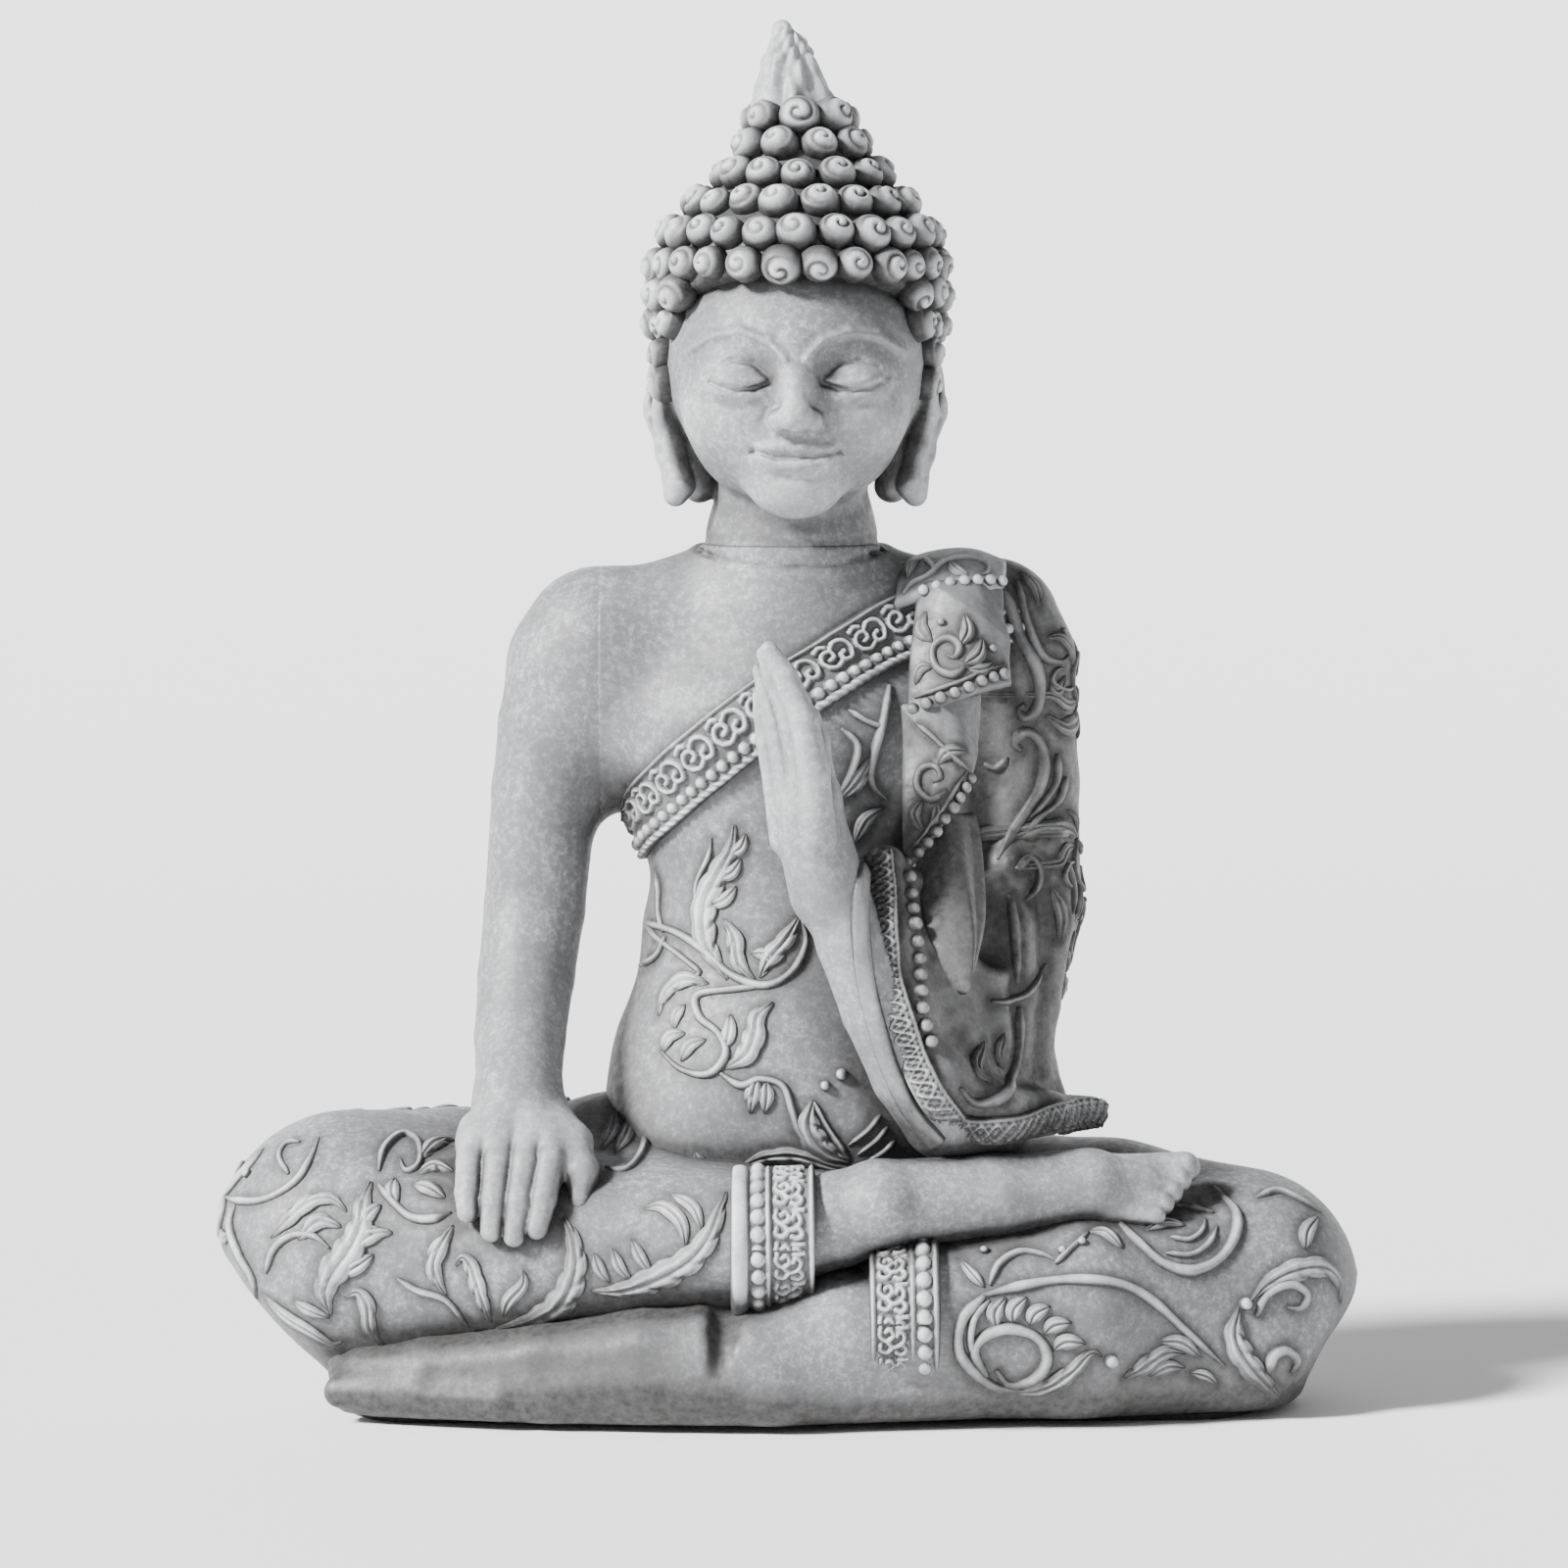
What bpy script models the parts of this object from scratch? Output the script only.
"""A seated figure cast in stone resin, built as separate castings that are doweled and glued together.

Millimetres are used for the design and turned into metres as each mesh is made. The front faces -Y, the
figure's right hand side is at -X, and Z = 0 is the surface that the statue stands on.
"""

import math

import bmesh
import bpy
from mathutils import Matrix, Vector

MM = 0.001

# Driving dimensions.
GAP = 0.3  # clearance between neighbouring castings, filled by glue on the real statue
STRIP = 1.6  # thickness of the applied ornament strips
FELT_THICK = 1.2
PLATE_THICK = 3.0
FOOT_Z = FELT_THICK + GAP  # underside of the castings
WAIST_Z = 50  # the torso's flat underside, in the lap's socket
NECK_Z = 184  # joint between torso and head
CROWN_Z = 279  # joint between hair cap and flame
SHOULDER_X = 42  # plane where the right arm meets the torso
LEFT_SHOULDER_X = 44  # plane where the left sleeve meets the torso
NECK_DOWEL_R = 4
THIN_DOWEL_R = 2
ARM_DOWEL_R = 3
BIG = 400  # side of the blocks used for plane cuts

STONE = (0.42, 0.42, 0.43)
STEEL = (0.55, 0.55, 0.56)
BOARD = (0.30, 0.22, 0.15)
FELT = (0.05, 0.05, 0.05)


def clear_scene():
    for obj in list(bpy.data.objects):
        bpy.data.objects.remove(obj, do_unlink=True)


def paint(obj, colour, roughness, metallic=0.0):
    """Gives an object its own material."""
    made = bpy.data.materials.new(obj.name)
    made.use_nodes = True
    shader = made.node_tree.nodes["Principled BSDF"]
    shader.inputs["Base Color"].default_value = (*colour, 1)
    shader.inputs["Roughness"].default_value = roughness
    shader.inputs["Metallic"].default_value = metallic
    obj.data.materials.clear()
    obj.data.materials.append(made)


def hang_on(parent, obj, point):
    """Puts an object's origin at its joint, and parents it to the piece that it is fixed to."""
    obj.data.transform(Matrix.Translation(Vector(point) * -MM))
    obj.parent = parent
    obj.location = Vector(point) * MM
    while parent:
        obj.location -= parent.location
        parent = parent.parent


def unit_directions(subdivisions=3):
    """The corners of an icosphere of radius 1."""
    bm = bmesh.new()
    bmesh.ops.create_icosphere(bm, subdivisions=subdivisions, radius=1)
    found = [v.co.copy() for v in bm.verts]
    bm.free()
    return found


DIRECTIONS = unit_directions()


def ball(x, y, z, rx, ry=None, rz=None):
    """An ellipsoid's middle and radii, or a ball's with one radius."""
    return Vector((x, y, z)), Vector((rx, ry or rx, rz or rx))


def add_hull(bm, balls):
    """Adds the convex hull of some balls. With two balls it is a tapered limb with round ends."""
    corners = [
        bm.verts.new((centre + Vector(map(float.__mul__, way[:], radii[:]))) * MM)
        for centre, radii in balls
        for way in DIRECTIONS
    ]
    made = bmesh.ops.convex_hull(bm, input=corners)
    unused = {g for g in made["geom_interior"] + made["geom_unused"] if isinstance(g, bmesh.types.BMVert)}
    bmesh.ops.delete(bm, geom=list(unused), context="VERTS")


def limb(*balls):
    """A chain of tapered limbs, as a list of hulls."""
    return [pair for pair in zip(balls, balls[1:])]


def object_of(name, bm):
    mesh = bpy.data.meshes.new(name)
    bmesh.ops.recalc_face_normals(bm, faces=bm.faces)
    bm.to_mesh(mesh)
    bm.free()
    obj = bpy.data.objects.new(name, mesh)
    bpy.context.scene.collection.objects.link(obj)
    return obj


def apply_modifiers(obj):
    """Replaces the mesh by what its modifiers make of it."""
    bpy.context.view_layer.update()
    graph = bpy.context.evaluated_depsgraph_get()
    mesh = bpy.data.meshes.new_from_object(obj.evaluated_get(graph))
    obj.modifiers.clear()
    old = obj.data
    obj.data = mesh
    bpy.data.meshes.remove(old)
    return obj


def keep_largest(obj):
    """Drops the crumbs that a cut leaves beside the main body."""
    bm = bmesh.new()
    bm.from_mesh(obj.data)
    waiting, bodies = set(bm.faces), []
    while waiting:
        front = [waiting.pop()]
        body = list(front)
        while front:
            for edge in front.pop().edges:
                for face in edge.link_faces:
                    if face in waiting:
                        waiting.discard(face)
                        front.append(face)
                        body.append(face)
        bodies.append(body)
    bodies.sort(key=lambda faces: sum(f.calc_area() for f in faces))
    crumbs = [face for body in bodies[:-1] for face in body]
    bmesh.ops.delete(bm, geom=crumbs, context="FACES")
    bm.to_mesh(obj.data)
    bm.free()
    return obj


def fused(name, hulls, voxel, smoothing, triangles):
    """One skin round all the hulls, softened as clay would be and thinned to a number of triangles."""
    bm = bmesh.new()
    for balls in hulls:
        add_hull(bm, balls)
    obj = object_of(name, bm)
    skin = obj.modifiers.new("Skin", "REMESH")
    skin.mode = "VOXEL"
    skin.voxel_size = voxel * MM
    if smoothing:
        soften = obj.modifiers.new("Soften", "SMOOTH")
        soften.factor = 0.5
        soften.iterations = smoothing
    apply_modifiers(obj)
    thin = obj.modifiers.new("Thin", "DECIMATE")
    thin.ratio = min(1.0, triangles / (2 * len(obj.data.polygons)))
    thin.use_collapse_triangulate = True
    return apply_modifiers(obj)


def copy_of(obj, name="helper"):
    made = bpy.data.objects.new(name, obj.data.copy())
    made.matrix_world = obj.matrix_world
    bpy.context.scene.collection.objects.link(made)
    return made


def grown(obj, by):
    """A copy whose surface stands proud of the original by a distance in millimetres."""
    made = copy_of(obj)
    swell = made.modifiers.new("Grow", "DISPLACE")
    swell.mid_level = 0
    swell.strength = by * MM
    return apply_modifiers(made)


def combine(obj, tool, operation, keep_tool=False):
    """Applies one Boolean, and removes the tool unless it is wanted again."""
    join = obj.modifiers.new(operation.title(), "BOOLEAN")
    join.operation = operation
    join.object = tool
    join.solver = "EXACT"
    join.use_self = True
    apply_modifiers(obj)
    if not keep_tool:
        bpy.data.objects.remove(tool, do_unlink=True)
    return obj


def cut_clear_of(obj, *rooms):
    """Takes away the room that other castings need."""
    for room in rooms:
        combine(obj, room, "DIFFERENCE", keep_tool=True)
    return keep_largest(obj)


def block(low, high):
    """A box from its lowest to its highest corner."""
    bm = bmesh.new()
    middle = [(a + b) / 2 * MM for a, b in zip(low, high)]
    sides = [(b - a) * MM for a, b in zip(low, high)]
    bmesh.ops.create_cube(bm, size=1, matrix=Matrix.Translation(middle) @ Matrix.Diagonal((*sides, 1)))
    return object_of("block", bm)


def rod(start, end, radius, name="rod", segments=16):
    """A round bar between two points."""
    start, end = Vector(start), Vector(end)
    along = end - start
    turn = along.to_track_quat("Z", "Y").to_matrix().to_4x4()
    place = Matrix.Translation((start + end) / 2 * MM) @ turn
    bm = bmesh.new()
    bmesh.ops.create_cone(
        bm, cap_ends=True, segments=segments, radius1=radius * MM, radius2=radius * MM,
        depth=along.length * MM, matrix=place,
    )
    return object_of(name, bm)


def cut_plane(obj, point, normal):
    """Keeps the side that the normal points away from, and closes the cut."""
    bm = bmesh.new()
    bm.from_mesh(obj.data)
    made = bmesh.ops.bisect_plane(
        bm, geom=bm.verts[:] + bm.edges[:] + bm.faces[:], dist=1e-7,
        plane_co=Vector(point) * MM, plane_no=Vector(normal), clear_outer=True,
    )
    rim = [g for g in made["geom_cut"] if isinstance(g, bmesh.types.BMEdge)]
    caps = bmesh.ops.holes_fill(bm, edges=rim)["faces"]
    bmesh.ops.triangulate(bm, faces=caps)
    bmesh.ops.recalc_face_normals(bm, faces=bm.faces)
    bm.to_mesh(obj.data)
    bm.free()
    return keep_largest(obj)


def dowel(name, start, end, radius, *seats):
    """A dowel, with its seat drilled a little deeper and wider into the castings that it joins."""
    along = (Vector(end) - Vector(start)).normalized()
    for seat in seats:
        combine(seat, rod(Vector(start) - along, Vector(end) + along, radius + GAP), "DIFFERENCE")
    return rod(start, end, radius, name)


# Blanks: the clay shapes before they are cut at their joints.


def legs_blank():
    """Crossed legs under the robe: right shin on top, left shin on the ground, and the seat behind."""
    seat = [[ball(0, 20, 27, 50, 37, 29)]]
    lap = [[ball(0, -12, 24, 46, 34, 22), ball(0, 10, 22, 60, 30, 22)]]
    right_thigh = limb(ball(-34, 18, 30, 26), ball(-72, 2, 32, 29.5), ball(-96, -12, 33, 27.5))
    right_shin = limb(ball(-94, -20, 29, 26), ball(-56, -30, 33, 21.5), ball(-2, -43, 38, 14))
    left_thigh = limb(ball(34, 18, 29, 25), ball(70, 4, 28.5, 25.5), ball(98, -10, 25, 24.6))
    left_shin = limb(ball(96, -16, 23, 24.5), ball(60, -34, 24, 20), ball(24, -44, 22, 17))
    ground = [[ball(-78, -22, 6, 22, 24, 12), ball(86, -18, 8, 26, 26, 14), ball(0, -18, 6, 60, 36, 12)]]
    hulls = seat + lap + right_thigh + right_shin + left_thigh + left_shin + ground
    return fused("lap_and_legs", hulls, voxel=2.2, smoothing=6, triangles=1700)


def torso_blank():
    belly = [[ball(0, 4, 66, 40, 33, 30)], limb(ball(0, 6, 88, 34, 29, 22), ball(0, 7, 108, 31, 25, 16))[0]]
    chest = [[ball(0, 7, 112, 30, 25, 16), ball(0, 6, 140, 42, 29, 22)], [ball(0, 6, 146, 45, 29, 26)]]
    shoulders = [[ball(-42, 8, 163, 16), ball(0, 8, 164, 30, 21, 18), ball(44, 8, 165, 16)]]
    slope = [[ball(-26, 9, 171, 12), ball(0, 9, 182, 17), ball(26, 9, 171, 12)]]
    neck = limb(ball(0, 8, 172, 19), ball(0, 6, 196, 16.5))
    return fused("torso", belly + chest + shoulders + slope + neck, voxel=2.2, smoothing=6, triangles=1150)


def head_blank():
    """Skull, jaw, neck and long-lobed ears. The features are plain here."""
    skull = [[ball(0, 5, 231, 27.5, 31, 26)]]
    face = [[ball(0, -3, 226, 25.5, 24, 20), ball(0, -8, 208, 20, 17, 13)]]
    neck = limb(ball(0, 6, 176, 17), ball(0, 5, 210, 17))
    nose = limb(ball(0, -26, 224, 2.6), ball(0, -28.5, 216, 4))
    nose += limb(ball(-3.4, -26, 214.6, 2.6), ball(3.4, -26, 214.6, 2.6))
    ears = []
    for side in (-1, 1):
        ears += limb(
            ball(side * 28, 6, 226, 3.6, 7, 8), ball(side * 26.5, 4, 211, 3.2, 4.5, 5),
            ball(side * 23.5, 3, 198.5, 3.6, 4.2, 4),
        )
    return fused("head", skull + face + neck + nose + ears, voxel=1.4, smoothing=3, triangles=1050)


def hair_blank():
    """The dome of curls and the raised crown under the flame."""
    dome = [[ball(0, 8, 234, 30.5, 33, 24)], [ball(0, 8, 246, 29.5, 30, 16)]]
    crown = limb(ball(1, 8, 252, 24, 24, 14), ball(1, 8, 270, 12.5, 12.5, 11))
    return fused("hair_cap", dome + crown, voxel=1.8, smoothing=4, triangles=560)


def flame_blank():
    flame = limb(ball(0.6, 8, 279, 9, 8, 5), ball(-0.5, 8, 289, 5.5, 5, 5), ball(-2.2, 8, 297.4, 2.4))
    return fused("flame_finial", flame, voxel=0.8, smoothing=2, triangles=240)


def right_arm_blank():
    arm = limb(
        ball(-42, 8, 163, 16), ball(-47, 8, 158, 14.5),
        ball(-53.6, 6, 130, 11.2), ball(-56.4, 3, 104, 10.4),
    )
    armpit = limb(ball(-44, 8, 150, 13), ball(-46, 7, 131, 9))
    forearm = limb(
        ball(-57, 3, 104, 10.2), ball(-58.5, -10, 88, 10),
        ball(-58.5, -24, 72, 8.6), ball(-58, -30, 65, 8.6),
    )
    return fused("right_arm", arm + armpit + forearm, voxel=1.6, smoothing=4, triangles=440)


WRIST = Vector((-58.5, -25, 71))
WRIST_AXIS = Vector((0, -0.67, -0.74))
KNUCKLES = [(-67.5, -44), (-61.3, -46.5), (-55, -47), (-49, -46)]
FINGER_ENDS = [(-68, 46), (-62, 41), (-57.5, 38), (-53, 40)]
FINGER_R = 3.1


def right_hand_blank():
    """A hand that drapes over the knee with its fingers pointing down."""
    palm = [[ball(-58.3, -23, 73, 8.6), ball(-66, -41, 59, 4.6), ball(-50.5, -42, 60, 4.8)]]
    fingers = []
    for (x, y), (end_x, end_z) in zip(KNUCKLES, FINGER_ENDS):
        fingers += limb(
            ball(x, y + 4, 58.5, FINGER_R + 0.6), ball((x + end_x) / 2, -52.5, 50, FINGER_R),
            ball(end_x, -55.5, end_z, FINGER_R - 0.3),
        )
    thumb = limb(ball(-51, -33, 64, 4.5), ball(-45, -42, 56, 3.4), ball(-43.5, -47, 47, 2.8))
    return fused("right_hand", palm + fingers + thumb, voxel=0.9, smoothing=2, triangles=800)


def left_sleeve_blank():
    """The covered upper arm, and the cloth that hangs from the raised forearm down to its border."""
    upper = limb(
        ball(44, 8, 166, 16), ball(48, 7, 160, 15), ball(50, 4, 128, 13.5),
        ball(49, 2, 98, 14), ball(46, 0, 76, 14),
    )
    drape = [
        ball(25, -28, 110, 5, 6, 9), ball(50, 0, 118, 12),
        ball(49, -2, 90, 13), ball(27, -32, 86, 6, 8, 9),
    ]
    lower = [
        ball(28, -31, 86, 6, 8, 8), ball(48, -2, 86, 13),
        ball(40, -29, 71, 6, 8, 5), ball(54, -12, 66, 13, 13, 5),
    ]
    return fused("left_sleeve", upper + [drape, lower], voxel=1.6, smoothing=4, triangles=700)


LEFT_WRIST = Vector((9, -43, 110))
LEFT_WRIST_AXIS = Vector((-0.3, -0.25, 0.92))


def left_forearm_blank():
    forearm = limb(
        ball(40, -14, 62, 9.5), ball(26, -30, 75, 9.5), ball(14, -39, 94, 8.5), ball(8.5, -43, 114, 7.6),
    )
    return fused("left_forearm", forearm, voxel=1.4, smoothing=3, triangles=300)


def left_hand_blank():
    """A raised hand seen from its edge, with the fingers together and pointing up."""
    across = Vector((-0.5, 0.86, 0))  # from the edge near the viewer to the far one
    root, tips = Vector((10, -50, 128)), (162.5, 165.5, 163.5, 158)
    palm = [[ball(9, -43, 108, 7.6), ball(10, -50, 126, 5, 5, 6), ball(3, -37, 128, 5, 5, 6)]]
    fingers = []
    for i, tip_z in enumerate(tips):
        x, y, z = root + across * (1 + 4.6 * i)
        middle, tip = ball(x - 3.6, y - 0.5, 146, 3.8), ball(x - 9.5, y - 1, tip_z - 3, 2.8)
        fingers += limb(ball(x, y, z, 4.4), middle, tip)
    thumb = limb(ball(9, -51, 116, 4), ball(13.5, -54, 127, 3.2), ball(14, -53, 136, 2.6))
    return fused("left_hand", palm + fingers + thumb, voxel=1.0, smoothing=2, triangles=600)


def right_foot_blank():
    """The upper foot, which lies on the left thigh with its sole turned up."""
    foot = limb(
        ball(-2, -43, 39, 12), ball(12, -46, 45, 10.5), ball(19, -46, 48, 10.2), ball(45, -43, 50, 8.5),
        ball(68, -38, 51, 8), ball(76, -35, 51, 6.5),
    )
    toe_ends = [
        (80, -40, 46, 2.9), (82, -38, 48.6, 3), (83.5, -35.5, 51, 3.1),
        (84.5, -33, 53.4, 3.3), (84, -29, 55, 4),
    ]
    for x, y, z, r in toe_ends:
        foot += limb(ball(x - 9, y + 1, z - 0.5, r + 0.6), ball(x, y, z, r))
    return fused("right_foot", foot, voxel=1.1, smoothing=3, triangles=460)


def left_foot_blank():
    """The lower foot, on its side along the ground under the right shin."""
    foot = limb(
        ball(24, -45, 20, 14), ball(2, -49, 15, 13), ball(-14, -50, 13.5, 12), ball(-48, -48, 10, 10),
        ball(-74, -43, 9, 8.6), ball(-84, -40, 8.6, 7.4),
    )
    toe_ends = [
        (-90, -42, 4.2, 2.8), (-93, -41, 6.6, 2.8), (-95.5, -39.5, 9, 3),
        (-96.5, -37, 11.4, 3.1), (-95, -33.5, 13.4, 3.8),
    ]
    for x, y, z, r in toe_ends:
        foot += limb(ball(x + 9, y + 1, z + 0.4, r + 0.6), ball(x, y, z, r))
    return fused("left_foot", foot, voxel=1.2, smoothing=3, triangles=460)


# Applied strips: thin bands that follow the casting they lie on.


def strip_on(name, blank, region):
    """A band of the strip's thickness, over the part of a casting that lies in the region."""
    band = grown(blank, GAP + STRIP)
    band.name = name
    combine(band, region, "INTERSECT")
    combine(band, grown(blank, GAP), "DIFFERENCE")
    return keep_largest(band)


BAND_LOW, BAND_HIGH = Vector((-33, 0, 126)), Vector((29, 0, 170))
BAND_WIDTH = 13
FLAP = [(27, -10, 182), (45, -5, 182), (48, -14, 154), (26, -24, 152)]
PLEAT = [(25, -25, 147), (41, -19, 150), (41, -21, 128), (27, -28, 115)]
BORDER = [(19, -34, 118), (21, -40, 100), (26, -42, 84), (36, -39, 70), (52, -29, 63), (66, -17, 62)]


def chest_region():
    """A slab through the chest along the robe's upper edge, front and back."""
    along = BAND_HIGH - BAND_LOW
    slab = block((-70, -60, -BAND_WIDTH / 2), (70, 80, BAND_WIDTH / 2))
    turn = Matrix.Rotation(-math.atan2(along.z, along.x), 4, "Y")
    slab.data.transform(Matrix.Translation((BAND_LOW + BAND_HIGH) / 2 * MM) @ turn)
    return slab


def plate_of(name, corners, radius):
    """A soft-edged flap of cloth, the hull of small balls at its corners."""
    return fused(name, [[ball(*corner, radius) for corner in corners]], 1.2, 2, 240)


# Assembly.


TORSO_CORE = [ball(0, 8, WAIST_Z - 6, 26, 21, 24), ball(0, 8, 120, 22, 16, 20), ball(0, 8, 146, 26, 16, 14)]
FELT_LOBES = [ball(-80, -20, 0, 16, 24, 9), ball(86, -16, 0, 17, 24, 9), ball(0, 14, 0, 44, 34, 9)]


def core_hulls(shrink):
    """The removable core that leaves the lap hollow. Its widest section is at the underside."""
    left, right, middle = [
        ball(x, y, 0, rx - shrink, ry - shrink, rz - shrink)
        for x, y, rx, ry, rz in ((-72, -10, 22, 17, 20), (74, -8, 22, 16, 17), (0, 16, 34, 24, 58))
    ]
    return [[left, right, ball(0, 18, 0, 34 - shrink, 24 - shrink, 31)], [middle]]


def solid(name, hulls):
    bm = bmesh.new()
    for balls in hulls:
        add_hull(bm, balls)
    return object_of(name, bm)


def build():
    legs, torso, head, hair = legs_blank(), torso_blank(), head_blank(), hair_blank()
    flame, right_arm, right_hand = flame_blank(), right_arm_blank(), right_hand_blank()
    sleeve, forearm, left_hand = left_sleeve_blank(), left_forearm_blank(), left_hand_blank()
    right_foot, left_foot = right_foot_blank(), left_foot_blank()
    flap = plate_of("shoulder_flap", FLAP, 3)
    pleat = plate_of("hanging_pleat", PLEAT, 2.6)
    border = fused("sleeve_border", limb(*[ball(*at, 3.6, 2.2, 3.6) for at in BORDER]), 1.2, 2, 420)

    # Strips follow the uncut blanks, and so does the room that each blank needs.
    chest_band = strip_on("chest_band", torso, chest_region())
    upper_cuff = strip_on("upper_ankle_cuff", legs, block((-9.5, -90, 22), (5, -30, 58)))
    lower_cuff = strip_on("lower_ankle_cuff", legs, block((18, -90, 6), (33, -36, 42)))
    blanks = (
        legs, torso, head, sleeve, right_foot, forearm, flap, pleat, chest_band, upper_cuff, lower_cuff,
    )
    rooms = {blank: grown(blank, GAP) for blank in blanks}

    # Joint planes.
    up, down = Vector((0, 0, 1)), Vector((0, 0, -1))
    planes = (
        (legs, (0, 0, FOOT_Z), down),
        (left_foot, (0, 0, FOOT_Z), down),
        (torso, (0, 0, WAIST_Z), down),
        (torso, (0, 0, NECK_Z - GAP / 2), up),
        (torso, (-SHOULDER_X, 0, 0), (-1, 0, 0)),
        (torso, (LEFT_SHOULDER_X, 0, 0), (1, 0, 0)),
        (head, (0, 0, NECK_Z + GAP / 2), down),
        (hair, (0, 0, CROWN_Z - GAP / 2), up),
        (flame, (0, 0, CROWN_Z + GAP / 2), down),
        (right_arm, (-SHOULDER_X - GAP, 0, 0), (1, 0, 0)),
        (right_arm, WRIST, WRIST_AXIS),
        (right_hand, WRIST + WRIST_AXIS * GAP, -WRIST_AXIS),
        (forearm, LEFT_WRIST, LEFT_WRIST_AXIS),
        (left_hand, LEFT_WRIST + LEFT_WRIST_AXIS * GAP, -LEFT_WRIST_AXIS),
    )
    for piece, point, outward in planes:
        cut_plane(piece, point, outward)

    # The lap takes the torso in a socket, and each piece is cut to fit those that it is glued on.
    fits = (
        (legs, torso),
        (right_arm, legs),
        (right_hand, legs),
        (right_foot, legs, upper_cuff),
        (left_foot, legs, lower_cuff, upper_cuff, right_foot),
        (lower_cuff, right_foot, upper_cuff),
        (chest_band, sleeve),
        (sleeve, torso, legs, right_foot),
        (hair, head),
        (forearm, torso, sleeve, legs, right_foot),
        (left_hand, torso, chest_band, pleat),
        (flap, torso, sleeve, chest_band),
        (pleat, torso, sleeve, chest_band, flap, forearm),
        (border, torso, sleeve, forearm, right_foot, legs, pleat),
    )
    for piece, *neighbours in fits:
        cut_clear_of(piece, *[rooms[neighbour] for neighbour in neighbours])
    for room in rooms.values():
        bpy.data.objects.remove(room, do_unlink=True)

    # Hollows, dowels and their seats.
    for hull in core_hulls(0):
        combine(legs, solid("core", [hull]), "DIFFERENCE")
    combine(torso, solid("core", [TORSO_CORE]), "DIFFERENCE")
    neck_dowel = dowel("neck_dowel", (0, 7, 168), (0, 7, 206), NECK_DOWEL_R, torso, head)
    flame_dowel = dowel("flame_dowel", (0.6, 8, 270), (0.2, 8, 288), THIN_DOWEL_R, hair, flame)
    shoulder_dowel = dowel("shoulder_dowel", (-32, 8, 160), (-54, 8, 157), ARM_DOWEL_R, torso, right_arm)
    wrist_dowel = dowel("wrist_dowel", (13, -39.5, 99), (6.5, -45, 119), THIN_DOWEL_R, forearm, left_hand)

    plate = solid("base_plate", core_hulls(0.5)[:1])
    combine(plate, block((-BIG, -BIG, FOOT_Z), (BIG, BIG, FOOT_Z + PLATE_THICK)), "INTERSECT")
    pad = solid("base_felt", [FELT_LOBES])
    combine(pad, block((-BIG, -BIG, 0), (BIG, BIG, FELT_THICK)), "INTERSECT")

    # What each piece is fixed to, and where.
    assembly = (
        (None, legs, (0, 0, 0)),
        (legs, torso, (0, 8, WAIST_Z)),
        (torso, head, (0, 6, NECK_Z)),
        (head, hair, (0, 8, 244)),
        (hair, flame, (0.6, 8, CROWN_Z)),
        (torso, right_arm, (-SHOULDER_X, 8, 163)),
        (right_arm, right_hand, WRIST),
        (torso, sleeve, (LEFT_SHOULDER_X, 8, 165)),
        (sleeve, forearm, (40, -14, 62)),
        (forearm, left_hand, LEFT_WRIST),
        (legs, right_foot, (5, -44, 42)),
        (legs, left_foot, (18, -46, 18)),
        (torso, chest_band, (0, -20, 148)),
        (legs, upper_cuff, (-2, -43, 38)),
        (legs, lower_cuff, (25, -44, 22)),
        (sleeve, flap, (36, -8, 182)),
        (sleeve, pleat, (33, -22, 148)),
        (sleeve, border, BORDER[0]),
        (torso, neck_dowel, (0, 7, 187)),
        (hair, flame_dowel, (0.4, 8, CROWN_Z)),
        (torso, shoulder_dowel, (-43, 8, 158.5)),
        (forearm, wrist_dowel, (9.75, -42.25, 109)),
        (legs, plate, (0, 0, FOOT_Z)),
        (plate, pad, (0, 0, 0)),
    )
    for parent, piece, point in assembly:
        hang_on(parent, piece, point)
    for _, piece, _ in assembly:
        paint(piece, STONE, 0.85)
    for piece in (neck_dowel, flame_dowel, shoulder_dowel, wrist_dowel):
        paint(piece, STEEL, 0.4, 1.0)
    paint(plate, BOARD, 0.8)
    paint(pad, FELT, 0.95)


clear_scene()
build()
